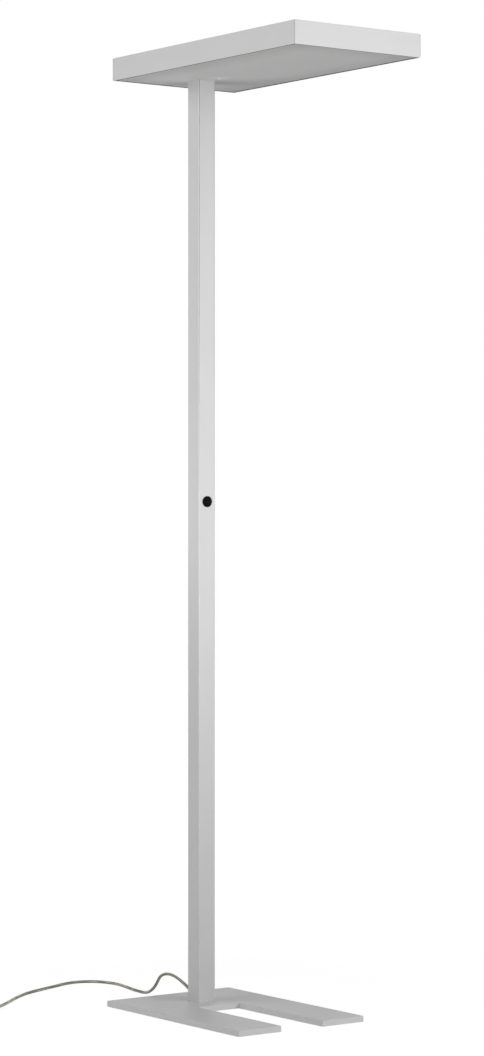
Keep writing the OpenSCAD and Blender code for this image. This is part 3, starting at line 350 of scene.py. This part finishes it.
class Shader:
    """A principled material with short calls for its nodes."""

    def __init__(self, name):
        self.material = bpy.data.materials.new(name)
        self.material.use_nodes = True
        self.tree = self.material.node_tree
        self.tree.nodes.clear()
        self.out = self.tree.nodes.new("ShaderNodeOutputMaterial")
        self.bsdf = self.tree.nodes.new("ShaderNodeBsdfPrincipled")
        self.link(self.bsdf.outputs["BSDF"], self.out.inputs["Surface"])
        self.place = self.tree.nodes.new("ShaderNodeTexCoord")

    def link(self, source, target):
        self.tree.links.new(source, target)

    def set(self, **values):
        for key, value in values.items():
            self.bsdf.inputs[key.replace("_", " ")].default_value = value

    def coords(self, scale=(1, 1, 1), kind="Object"):
        mapping = self.tree.nodes.new("ShaderNodeMapping")
        mapping.inputs["Scale"].default_value = scale
        self.link(self.place.outputs[kind], mapping.inputs["Vector"])
        return mapping.outputs["Vector"]

    def noise(self, scale, detail=2.0, roughness=0.5, stretch=(1, 1, 1), kind="Object"):
        node = self.tree.nodes.new("ShaderNodeTexNoise")
        node.inputs["Scale"].default_value = scale
        node.inputs["Detail"].default_value = detail
        node.inputs["Roughness"].default_value = roughness
        self.link(self.coords(stretch, kind), node.inputs["Vector"])
        return node.outputs["Fac"]

    def voronoi(self, scale):
        node = self.tree.nodes.new("ShaderNodeTexVoronoi")
        node.inputs["Scale"].default_value = scale
        self.link(self.coords(), node.inputs["Vector"])
        return node.outputs["Distance"]

    def math(self, operation, a, b=None, c=None):
        node = self.tree.nodes.new("ShaderNodeMath")
        node.operation = operation
        for socket, value in zip(node.inputs, (a, b, c)):
            if value is None:
                continue
            if isinstance(value, (int, float)):
                socket.default_value = value
            else:
                self.link(value, socket)
        return node.outputs[0]

    def spread(self, value, low, high, from_low=0.0, from_high=1.0, smooth=False):
        node = self.tree.nodes.new("ShaderNodeMapRange")
        node.interpolation_type = "SMOOTHSTEP" if smooth else "LINEAR"
        self.link(value, node.inputs["Value"])
        node.inputs["From Min"].default_value = from_low
        node.inputs["From Max"].default_value = from_high
        node.inputs["To Min"].default_value = low
        node.inputs["To Max"].default_value = high
        return node.outputs["Result"]

    def ramp(self, value, *stops):
        node = self.tree.nodes.new("ShaderNodeValToRGB")
        elements = node.color_ramp.elements
        while len(elements) < len(stops):
            elements.new(0.5)
        for element, (position, colour) in zip(elements, stops):
            element.position = position
            element.color = (*colour, 1.0)
        self.link(value, node.inputs["Fac"])
        return node.outputs["Color"]

    def mix(self, factor, a, b):
        node = self.tree.nodes.new("ShaderNodeMix")
        node.data_type = "RGBA"
        for socket, value in ((node.inputs[0], factor), (node.inputs[6], a), (node.inputs[7], b)):
            if isinstance(value, (int, float)):
                socket.default_value = value
            elif isinstance(value, tuple):
                socket.default_value = (*value, 1.0)
            else:
                self.link(value, socket)
        return node.outputs[2]

    def scale_colour(self, colour, factor):
        node = self.tree.nodes.new("ShaderNodeVectorMath")
        node.operation = "SCALE"
        self.link(colour, node.inputs[0])
        self.link(factor, node.inputs["Scale"])
        return node.outputs["Vector"]

    def bump(self, height, distance, strength=1.0, over=None):
        node = self.tree.nodes.new("ShaderNodeBump")
        node.inputs["Distance"].default_value = distance
        node.inputs["Strength"].default_value = strength
        self.link(height, node.inputs["Height"])
        if over is not None:
            self.link(over, node.inputs["Normal"])
        return node.outputs["Normal"]

    def rounding(self, radius):
        node = self.tree.nodes.new("ShaderNodeBevel")
        node.samples = 4
        node.inputs["Radius"].default_value = radius
        return node.outputs["Normal"]

    def edges(self, radius):
        """0 on the flats and more along the edges, where the rounded normal leaves the true one."""
        true = self.tree.nodes.new("ShaderNodeNewGeometry").outputs["True Normal"]
        node = self.tree.nodes.new("ShaderNodeVectorMath")
        node.operation = "DOT_PRODUCT"
        self.link(self.rounding(radius), node.inputs[0])
        self.link(true, node.inputs[1])
        return self.math("SUBTRACT", 1.0, node.outputs["Value"])

    def axis(self, name, kind="Object"):
        node = self.tree.nodes.new("ShaderNodeSeparateXYZ")
        self.link(self.place.outputs[kind], node.inputs[0])
        return node.outputs[name]

    def colour(self, value):
        self.link(value, self.bsdf.inputs["Base Color"])

    def rough(self, value):
        self.link(value, self.bsdf.inputs["Roughness"])

    def normal(self, value):
        self.link(value, self.bsdf.inputs["Normal"])


def shade(value, tint=(1.0, 1.0, 1.0)):
    return tuple(value * t for t in tint)


# ---------- materials ----------

# Heights over which the painted highlight on the column's arris grows, and over which its painted shade comes
# in.
ARRIS_LIGHT_Z = (0.1, 0.9)
ARRIS_LIGHT_LEAST = 0.1
ARRIS_DARK_Z = (1.0, 1.45)
ARRIS_DARK_GAIN = 4.0
ARRIS_DARK_MOST = 0.9
# Width and strength of a painted highlight along the foot's edges.
PAINTED_HIGHLIGHT_EDGE_R = 0.0018
PAINTED_HIGHLIGHT_GAIN = 8.0
# Reach and depth of the painted shade towards the diffuser's rim.
PANEL_RIM = 0.08
RIM_DIM_X = 0.88
RIM_DIM_Y = 0.85
# Reach and strength of the painted glow round the sensor's lens.
LENS_GLOW_R = 0.030
LENS_GLOW = 0.12


def painted_arris_light_and_shade(s, strength):
    """Painted highlight and shade on an upright rounded arris: lighter towards the side face, and high up
    darker towards the end face.
    """
    across = s.math("ABSOLUTE", s.axis("Y", "Normal"))
    end = s.math("ABSOLUTE", s.axis("X", "Normal"))
    tone = s.math("MULTIPLY", s.math("MULTIPLY", across, end), s.math("SUBTRACT", across, end))
    lit = s.spread(s.axis("Z"), ARRIS_LIGHT_LEAST * strength, strength, *ARRIS_LIGHT_Z)
    light = s.math("MULTIPLY", s.math("MAXIMUM", tone, 0.0), lit)
    depth = s.math("MAXIMUM", s.math("MULTIPLY", tone, ARRIS_DARK_GAIN * strength), -ARRIS_DARK_MOST)
    dark = s.math("MULTIPLY", depth, s.spread(s.axis("Z"), 0.0, 1.0, *ARRIS_DARK_Z))
    return s.math("ADD", s.math("ADD", light, s.math("MINIMUM", dark, 0.0)), 1.0)


def silver_coating(name, grey, stretch, grain=1500.0, arris=0.0, gloss=1.0, painted_edge_highlight=0.0, sides=0.0):
    """Satin silver coating: fine sparkle, faint drawn lines and slight clouds of sheen.

    Its last three values paint light and shade into the colour: highlight and shade on the upright edges, a
    highlight along all edges, and lighter upright faces.
    """
    s = Shader(name)
    s.set(Metallic=0.25 * gloss, Specular_IOR_Level=0.45 * gloss)
    speckle = s.noise(grain, detail=2.0)
    drawn = s.noise(420.0, detail=3.0, stretch=stretch)
    clouds = s.noise(5.0, detail=2.0)
    tone = s.math("ADD", s.spread(speckle, -0.035, 0.035), s.spread(drawn, -0.012, 0.012))
    tone = s.math("ADD", tone, s.spread(clouds, 0.485, 0.515))
    cool = (1.0, 1.0, 1.005)
    colour = s.ramp(tone, (0.4, shade(grey * 0.87, cool)), (0.6, shade(grey * 1.13, cool)))
    # Painted highlight and shade along the upright arrises.
    if arris:
        colour = s.scale_colour(colour, painted_arris_light_and_shade(s, arris))
    # Painted highlight along all edges, where a rounded edge catches the light.
    if painted_edge_highlight:
        band = s.math("MINIMUM", s.math("MULTIPLY", s.edges(PAINTED_HIGHLIGHT_EDGE_R), PAINTED_HIGHLIGHT_GAIN), 1.0)
        colour = s.scale_colour(colour, s.math("MULTIPLY_ADD", band, painted_edge_highlight, 1.0))
    # Painted light: the upright faces are made lighter, standing in for light thrown up from the floor.
    if sides:
        upright = s.math("SUBTRACT", 1.0, s.math("ABSOLUTE", s.axis("Z", "Normal")))
        colour = s.scale_colour(colour, s.math("MULTIPLY_ADD", upright, sides, 1.0))
    s.colour(colour)
    sheen = s.math("ADD", s.math("MULTIPLY", speckle, 0.5), s.math("MULTIPLY", clouds, 0.5))
    s.rough(s.spread(sheen, 0.36, 0.50, 0.3, 0.7))
    height = s.math("ADD", speckle, s.math("MULTIPLY", drawn, 0.35))
    s.normal(s.bump(height, 0.00006, 0.5, over=s.rounding(0.0006)))
    return s.material


def bare_metal(name, colour, roughness, scale=300.0, stretch=(1, 1, 1)):
    """Bare or plated metal: rolled streaks and a patchy sheen."""
    s = Shader(name)
    s.set(Metallic=1.0)
    streaks = s.noise(scale, detail=4.0, stretch=stretch)
    patches = s.noise(40.0, detail=3.0)
    s.colour(s.ramp(s.math("ADD", s.math("MULTIPLY", streaks, 0.5), s.math("MULTIPLY", patches, 0.5)),
                    (0.3, shade(0.85, colour)), (0.7, shade(1.08, colour))))
    s.rough(s.spread(patches, roughness * 0.8, roughness * 1.25, 0.3, 0.7))
    s.normal(s.bump(streaks, 0.00004, 0.5, over=s.rounding(0.0003)))
    return s.material


def plastic(name, colour, roughness, grain=1800.0, depth=0.00005, specular=0.5):
    """Moulded plastic with a fine eroded grain."""
    s = Shader(name)
    s.set(Specular_IOR_Level=specular)
    grains = s.noise(grain, detail=3.0)
    clouds = s.noise(60.0, detail=2.0)
    s.colour(s.ramp(s.math("ADD", s.math("MULTIPLY", grains, 0.4), s.math("MULTIPLY", clouds, 0.6)),
                    (0.3, shade(0.92, colour)), (0.7, shade(1.06, colour))))
    s.rough(s.spread(grains, roughness * 0.85, roughness * 1.15, 0.3, 0.7))
    s.normal(s.bump(grains, depth, 0.5, over=s.rounding(0.0004)))
    return s.material


def painted_rim_shade(s, axis, low, high, dim):
    """Painted shade: a translucent panel is made a little darker towards its rim, where less light comes back
    through it.
    """
    place = s.axis(axis)
    near = s.math("MINIMUM", s.math("SUBTRACT", place, low), s.math("SUBTRACT", high, place))
    return s.spread(near, dim, 1.0, 0.0, PANEL_RIM, smooth=True)


def painted_lens_glow(s, centre, radius, lift):
    """Painted light: the panel is made a little lighter round the sensor's lens."""
    node = s.tree.nodes.new("ShaderNodeVectorMath")
    node.operation = "DISTANCE"
    s.link(s.place.outputs["Object"], node.inputs[0])
    node.inputs[1].default_value = centre
    return s.spread(node.outputs["Value"], 1.0 + lift, 1.0, 0.25 * radius, radius, smooth=True)


def opal(name, colour, cell, node, painted_glow_at=None):
    """Opal acrylic with a fine field of micro prisms and light that soaks in a little."""
    s = Shader(name)
    low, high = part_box(node)
    s.set(Subsurface_Weight=0.25, Subsurface_Scale=0.003, Subsurface_Radius=(1.0, 1.0, 1.0),
          Specular_IOR_Level=0.15)
    prisms = s.voronoi(cell)
    haze = s.noise(9.0, detail=3.0)
    # Painted shade towards the panel's rim.
    rim = s.math("MULTIPLY", painted_rim_shade(s, "X", low[0], high[0], RIM_DIM_X),
                 painted_rim_shade(s, "Y", low[1], high[1], RIM_DIM_Y))
    # Painted glow round the given point.
    if painted_glow_at is not None:
        rim = s.math("MULTIPLY", rim, painted_lens_glow(s, painted_glow_at, LENS_GLOW_R, LENS_GLOW))
    s.colour(s.scale_colour(s.ramp(haze, (0.3, shade(0.985, colour)), (0.7, shade(1.01, colour))), rim))
    s.rough(s.spread(haze, 0.55, 0.63, 0.3, 0.7))
    s.normal(s.bump(prisms, 0.00012, 0.35, over=s.rounding(0.0005)))
    return s.material


def clear_cord(name):
    """Clear PVC over tinned cores: long streaks that wind slowly round the cord, under a low gloss."""
    s = Shader(name)
    u, v = s.axis("X", "UV"), s.axis("Y", "UV")
    turn = s.math("SUBTRACT", s.math("MULTIPLY", u, 3.0), s.math("MULTIPLY", v, 3.0 / 0.24))
    band = s.math("PINGPONG", turn, 0.5)
    streaks = s.noise(1.0, detail=3.0, stretch=(5.0, 26.0, 1.0), kind="UV")
    patches = s.noise(1.0, detail=1.0, stretch=(0.6, 9.0, 1.0), kind="UV")
    level = s.math("MULTIPLY_ADD", band, 0.55, s.spread(streaks, -0.38, 0.62, 0.3, 0.7))
    level = s.math("ADD", level, s.spread(patches, -0.14, 0.26, 0.35, 0.65))
    tone = s.ramp(level, (0.0, (0.33, 0.33, 0.27)), (0.35, (0.50, 0.50, 0.415)), (0.72, (0.88, 0.865, 0.77)))
    warm = s.spread(patches, 0.0, 0.6, 0.55, 0.63)
    s.colour(s.mix(warm, tone, (0.80, 0.73, 0.57)))
    s.set(Roughness=0.5, Coat_Weight=0.08, Coat_Roughness=0.15, Coat_IOR=1.4, Specular_IOR_Level=0.05)
    s.normal(s.bump(band, 0.0002, 0.25))
    return s.material


def woven(name, colour):
    """Hook-and-loop webbing: a ribbed weave under a nap of small loops."""
    s = Shader(name)
    u, v = s.axis("X", "UV"), s.axis("Y", "UV")
    weft = s.math("SINE", s.math("MULTIPLY", v, 2 * math.pi / 0.0007))
    warp = s.math("SINE", s.math("MULTIPLY", u, 2 * math.pi / 0.0009))
    nap = s.noise(2600.0, detail=3.0)
    weave = s.spread(s.math("MULTIPLY", weft, warp), 0.0, 1.0, -1.0, 1.0)
    height = s.math("ADD", s.math("MULTIPLY", weave, 0.5), nap)
    s.colour(s.ramp(height, (0.5, shade(0.6, colour)), (1.1, shade(1.5, colour))))
    s.set(Sheen_Weight=0.35, Sheen_Roughness=0.4, Specular_IOR_Level=0.2)
    s.rough(s.spread(nap, 0.75, 0.95, 0.3, 0.7))
    s.normal(s.bump(height, 0.00025, 0.7))
    return s.material


def led_board(name, cut, above):
    """White solder mask with yellow phosphor on the chips, which stand beyond the height given."""
    s = Shader(name)
    z = s.axis("Z")
    chip = s.math("GREATER_THAN" if above else "LESS_THAN", z, cut)
    mask = s.noise(700.0, detail=2.0)
    white = s.ramp(mask, (0.3, (0.76, 0.77, 0.75)), (0.7, (0.84, 0.84, 0.82)))
    phosphor = s.ramp(mask, (0.3, (0.80, 0.56, 0.09)), (0.7, (0.88, 0.66, 0.14)))
    s.colour(s.mix(chip, white, phosphor))
    s.rough(s.spread(mask, 0.3, 0.42))
    s.normal(s.bump(mask, 0.00003, 0.4))
    return s.material


def wire(name, colours):
    """Insulated single wires: a different colour for each, by its place across the lamp."""
    s = Shader(name)
    y = s.axis("Y")
    n = len(colours["values"])
    place = s.spread(y, 0.0, 1.0, colours["from"], colours["to"])
    node = s.tree.nodes.new("ShaderNodeValToRGB")
    node.color_ramp.interpolation = "CONSTANT"
    elements = node.color_ramp.elements
    while len(elements) < n:
        elements.new(0.5)
    for i, (element, colour) in enumerate(zip(elements, colours["values"])):
        element.position = i / n
        element.color = (*colour, 1.0)
    s.link(place, node.inputs["Fac"])
    speck = s.noise(900.0)
    s.colour(s.mix(s.spread(speck, 0.0, 0.12), node.outputs["Color"], (0.0, 0.0, 0.0)))
    s.rough(s.spread(speck, 0.28, 0.4))
    return s.material


UPRIGHT = (1.0, 1.0, 0.012)
ALONG_X = (0.012, 1.0, 1.0)
ALONG_Y = (1.0, 0.012, 1.0)

SILVER = 0.62
FOOT_SILVER = 0.65
# The column's arrises carry painted highlight and shade.
column_silver = silver_coating("silver_column", SILVER, UPRIGHT, arris=4.0)
side_silver = silver_coating("silver_long_bars", SILVER, ALONG_X)
end_silver = silver_coating("silver_short_bars", SILVER, ALONG_Y)
# The foot carries a painted highlight along its edges and painted light on its upright faces.
foot_silver = silver_coating("silver_foot", FOOT_SILVER, (1, 1, 1), grain=1100.0, gloss=0.35,
                             painted_edge_highlight=0.08, sides=0.32)
zinc = bare_metal("zinc_plated", (0.58, 0.60, 0.62), 0.34)
sheet_metal = bare_metal("rolled_aluminium", (0.66, 0.67, 0.69), 0.38, scale=500.0, stretch=ALONG_X)
brass = bare_metal("nickel_plated_pins", (0.72, 0.70, 0.64), 0.22, scale=400.0)
# The diffuser gets a painted glow round the sensor's lens.
lens_low, lens_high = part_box("sensor_lens")
opal_down = opal("opal_diffuser", (0.80, 0.80, 0.795), 420.0, "diffuser", painted_glow_at=(lens_low + lens_high) / 2)
opal_up = opal("frosted_cover", (0.78, 0.80, 0.80), 300.0, "top_cover")
lens = plastic("sensor_lens", (0.74, 0.72, 0.715), 0.33, grain=900.0)
white_plastic = plastic("white_plastic", (0.78, 0.78, 0.76), 0.42)
ring_black = plastic("black_ring", (0.003, 0.003, 0.0032), 0.5, specular=0.03)
cap_black = plastic("black_cap", (0.0045, 0.0045, 0.0047), 0.45, specular=0.04)
black_satin = plastic("black_satin", (0.010, 0.010, 0.011), 0.4, specular=0.2)
# Painted shade: the diffuser's seal is near black, darker than the rubber, standing in for the shadow in the
# gap between frame and diffuser.
painted_shade_seal = plastic("painted_shade_seal", (0.006, 0.006, 0.0062), 0.7, grain=1100.0, depth=0.0001, specular=0.1)
rubber = plastic("black_rubber", (0.022, 0.022, 0.023), 0.62, grain=1300.0, depth=0.0001)
strap_weave = woven("strap_weave", (0.022, 0.022, 0.024))
plug_black = plastic("plug_black", (0.022, 0.022, 0.024), 0.45, grain=1400.0, depth=0.00012)
cord_clear = clear_cord("clear_cord")

HEAD_Z = 1.904
SHELF = HEAD_Z + 0.020
leds_down = led_board("leds_down", SHELF - 0.0017, above=False)
leds_up = led_board("leds_up", SHELF + 0.0025 + 0.0017, above=True)
mains_wires = wire("mains_wires", {"from": -0.0032, "to": 0.0032, "values": [
    (0.02, 0.07, 0.36), (0.24, 0.34, 0.04), (0.16, 0.06, 0.025)]})
driver_wires = wire("driver_wires", {"from": -0.0125, "to": 0.0125, "values": [
    (0.02, 0.07, 0.36), (0.16, 0.06, 0.025), (0.24, 0.34, 0.04), (0.02, 0.02, 0.02), (0.5, 0.5, 0.48)]})
led_wires = wire("led_wires", {"from": -0.1, "to": 0.1, "values": [(0.4, 0.02, 0.02), (0.02, 0.02, 0.02)]})

finishes = {
    "foot_plate": foot_silver, "foot_pad": rubber, "foot_screws": zinc, "column": column_silver,
    "cord_outlet": rubber, "mains_riser": cord_clear, "signal_cable": black_satin,
    "button_ring": ring_black, "button_cap": cap_black, "switch_module": black_satin,
    "frame_front": end_silver, "frame_rear": end_silver, "frame_left": side_silver,
    "frame_right": side_silver, "corner_keys": zinc, "heat_sink": sheet_metal,
    "heat_sink_screws": zinc, "mounting_plate": zinc, "mounting_screws": zinc,
    "column_screws": zinc, "cable_grommet": rubber, "terminal_block": white_plastic,
    "mains_leads": mains_wires, "driver_leads": driver_wires, "led_driver": white_plastic,
    "driver_screws": zinc, "led_leads": led_wires, "led_strips_down": leds_down,
    "led_strips_up": leds_up, "diffuser": opal_down, "diffuser_seal": painted_shade_seal,
    "diffuser_clips": zinc, "sensor_module": white_plastic, "sensor_lens": lens,
    "top_cover": opal_up, "plug_body": plug_black, "plug_pins": brass, "plug_earth_clips": brass,
}
for name, finish in finishes.items():
    mesh = nodes[name].data
    mesh.materials.clear()
    mesh.materials.append(finish)
for piece, finish in ((mains_cord, cord_clear), (strap, strap_weave), (spring, zinc)):
    piece.data.materials.append(finish)


# ---------- floor, world and lamps ----------

def backdrop_rays(tree):
    """1 for the rays that should see a white background."""
    path = tree.nodes.new("ShaderNodeLightPath")
    first = tree.nodes.new("ShaderNodeMath")
    first.operation = "MAXIMUM"
    tree.links.new(path.outputs["Is Camera Ray"], first.inputs[0])
    tree.links.new(path.outputs["Is Glossy Ray"], first.inputs[1])
    second = tree.nodes.new("ShaderNodeMath")
    second.operation = "MAXIMUM"
    tree.links.new(first.outputs[0], second.inputs[0])
    tree.links.new(path.outputs["Is Transmission Ray"], second.inputs[1])
    return second.outputs[0]


def scaled(tree, value, low, high):
    node = tree.nodes.new("ShaderNodeMapRange")
    node.inputs["To Min"].default_value = low
    node.inputs["To Max"].default_value = high
    tree.links.new(value, node.inputs["Value"])
    return node.outputs["Result"]


AMBIENT = 0.086
FLOOR_R = 14.0
FLOOR_ALBEDO = 0.35
NEAR_GLOW = 0.86
FAR_GLOW = 1.0
GLOW_FROM_R = 0.45
GLOW_TO_R = 1.7


def make_world():
    """A white backdrop for the rays that see it, and a low even light for the rest."""
    world = bpy.data.worlds.new("studio")
    scene.world = world
    world.use_nodes = True
    tree = world.node_tree
    background = tree.nodes["Background"]
    background.inputs["Color"].default_value = (1.0, 1.0, 1.0, 1.0)
    tree.links.new(scaled(tree, backdrop_rays(tree), AMBIENT, 1.0), background.inputs["Strength"])


def floor_glow(tree):
    """More glow where the lamps no longer reach, so that the floor stays as white as the backdrop."""
    spot = tree.nodes.new("ShaderNodeTexCoord")
    reach = tree.nodes.new("ShaderNodeVectorMath")
    reach.operation = "LENGTH"
    tree.links.new(spot.outputs["Object"], reach.inputs[0])
    fade = tree.nodes.new("ShaderNodeMapRange")
    fade.interpolation_type = "SMOOTHSTEP"
    fade.inputs["From Min"].default_value = GLOW_FROM_R
    fade.inputs["From Max"].default_value = GLOW_TO_R
    fade.inputs["To Min"].default_value = NEAR_GLOW
    fade.inputs["To Max"].default_value = FAR_GLOW
    tree.links.new(reach.outputs["Value"], fade.inputs["Value"])
    level = tree.nodes.new("ShaderNodeMath")
    level.operation = "MULTIPLY"
    tree.links.new(backdrop_rays(tree), level.inputs[0])
    tree.links.new(fade.outputs["Result"], level.inputs[1])
    return level.outputs[0]


def make_floor_material():
    """A matte floor that keeps the lamp's shadow, under the backdrop's white."""
    material = bpy.data.materials.new("floor")
    material.use_nodes = True
    tree = material.node_tree
    tree.nodes.clear()
    out = tree.nodes.new("ShaderNodeOutputMaterial")
    add = tree.nodes.new("ShaderNodeAddShader")
    matte = tree.nodes.new("ShaderNodeBsdfDiffuse")
    matte.inputs["Color"].default_value = (FLOOR_ALBEDO, FLOOR_ALBEDO, FLOOR_ALBEDO, 1.0)
    glow = tree.nodes.new("ShaderNodeEmission")
    tree.links.new(floor_glow(tree), glow.inputs["Strength"])
    tree.links.new(matte.outputs[0], add.inputs[0])
    tree.links.new(glow.outputs[0], add.inputs[1])
    tree.links.new(add.outputs[0], out.inputs["Surface"])
    return material


def make_floor():
    bm = bmesh.new()
    bmesh.ops.create_circle(bm, cap_ends=True, radius=FLOOR_R, segments=96)
    floor = link_mesh("floor", bm, smooth=False)
    floor.data.materials.append(make_floor_material())


make_world()
make_floor()


def soft_box(name, place, aim, size, power):
    data = bpy.data.lights.new(name, "AREA")
    data.shape = "RECTANGLE"
    data.size, data.size_y = size
    data.energy = power
    box = bpy.data.objects.new(name, data)
    box.location = place
    box.rotation_euler = (Vector(aim) - Vector(place)).to_track_quat("-Z", "Y").to_euler()
    box.visible_camera = False
    scene.collection.objects.link(box)


soft_box("box_left_high", (-0.4, -2.0, 2.2), (0.0, 0.0, 1.5), (2.2, 1.2), 14.1)
soft_box("box_left_middle", (-0.4, -1.8, 1.2), (0.0, 0.0, 1.2), (2.0, 0.9), 7.3)
soft_box("box_left_low", (-0.4, -1.8, 0.5), (0.0, 0.0, 0.5), (2.0, 0.7), 4.6)
soft_box("box_left_under", (-0.3, -0.9, 1.0), (-0.1, -0.5, 1.9), (1.0, 0.6), 2.4)
soft_box("box_right_large", (2.6, 0.8, 1.3), (0.0, 0.0, 1.2), (2.4, 1.6), 18.0)
soft_box("box_right_high", (2.0, 0.4, 2.2), (0.0, 0.0, 1.6), (1.8, 1.0), 7.8)
soft_box("box_right_low", (2.2, 0.6, 0.9), (0.0, 0.0, 0.9), (1.6, 0.8), 11.5)

scene.view_settings.view_transform = "Standard"
